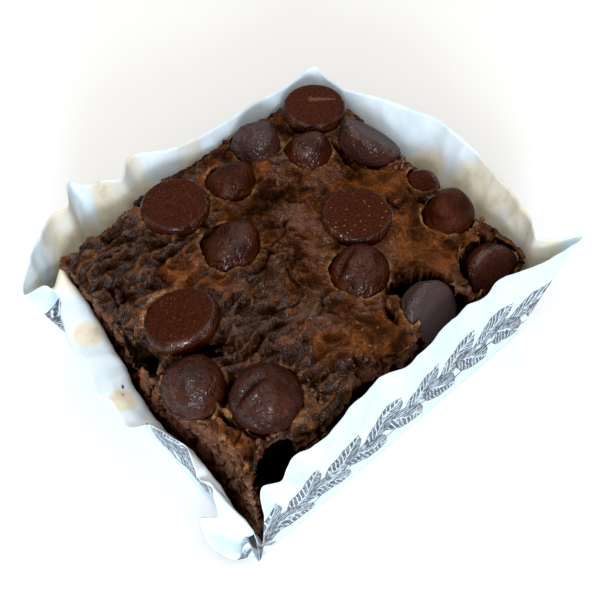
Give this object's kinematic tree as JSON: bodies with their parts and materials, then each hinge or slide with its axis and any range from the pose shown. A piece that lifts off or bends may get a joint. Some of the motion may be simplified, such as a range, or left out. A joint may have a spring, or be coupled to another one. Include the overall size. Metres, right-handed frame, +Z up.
{
  "type": "chocolate brownie in a paper case",
  "caption": "Square chocolate brownie with large chocolate chips on its crust, sitting in an open pleated white paper case.",
  "frame": {"origin": "centre of the paper case's base, on its underside", "axes": "+X along the case's longer base side, +Z up; the side with the printed band low on it faces -Y"},
  "size_m": [0.0869, 0.0732, 0.0298],
  "materials": {
    "crust": "dark brown baked crust and moist crumb, satin",
    "chocolate": "dark chocolate, satin to glossy",
    "paper": "white greaseproof paper, matt, creased, printed with a grey band low on one side"
  },
  "bodies": {
    "root": {"brownie": "crust", "paper_case": "paper", "chip_01": "chocolate", "chip_02": "chocolate", "chip_03": "chocolate", "chip_04": "chocolate", "chip_05": "chocolate", "chip_06": "chocolate", "chip_07": "chocolate", "chip_08": "chocolate", "chip_09": "chocolate", "chip_10": "chocolate", "chip_11": "chocolate", "chip_12": "chocolate", "chip_13": "chocolate", "chip_14": "chocolate", "chip_15": "chocolate", "chip_16": "chocolate"}
  },
  "joints": []
}
